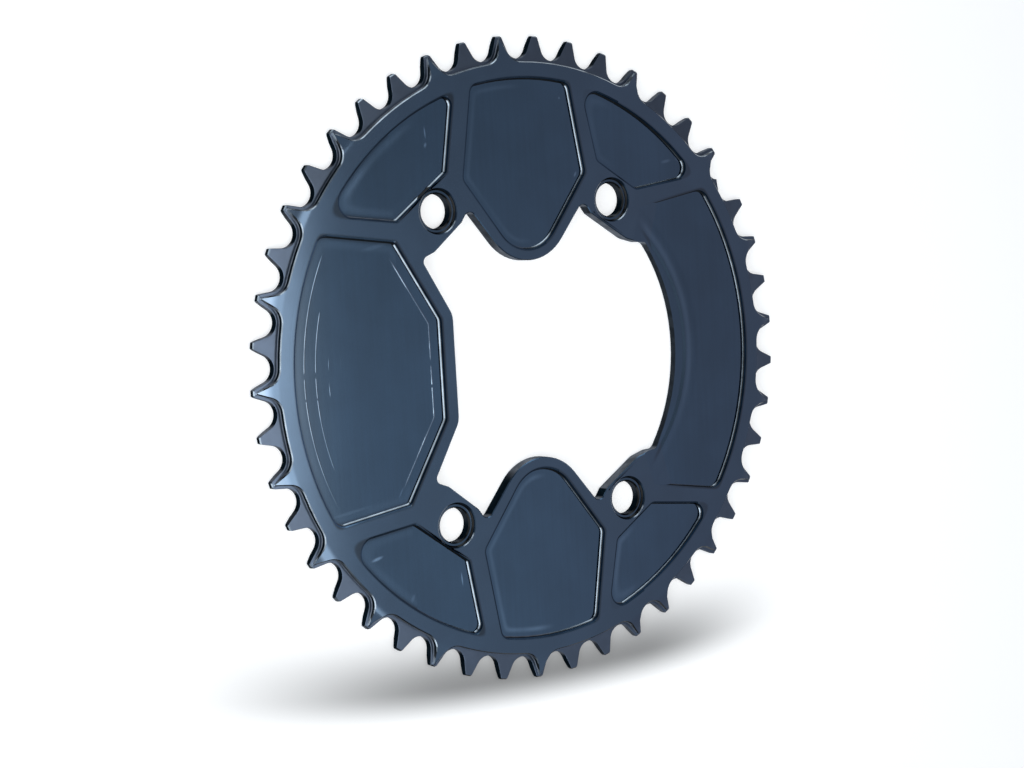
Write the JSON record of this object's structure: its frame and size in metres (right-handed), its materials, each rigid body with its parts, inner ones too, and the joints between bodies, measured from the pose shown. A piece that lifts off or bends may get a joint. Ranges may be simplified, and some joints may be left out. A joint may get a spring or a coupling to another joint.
{
  "type": "bicycle chainring",
  "caption": "Flat narrow-wide bicycle chainring, dark anodised aluminium, with pocketed panels, bolt holes and an open centre.",
  "frame": {"origin": "centre of the bolt pattern and of the tooth circle, in the plane of the flat back face", "axes": "+Z along the ring's axis out of the pocketed front face, +Y to the upper tab, +X to the panel that is open to the centre"},
  "size_m": [0.1886, 0.1885, 0.004],
  "materials": {
    "anodised": "dark slate-blue satin anodised, machined"
  },
  "bodies": {
    "root": {"chainring": "anodised"}
  },
  "joints": []
}
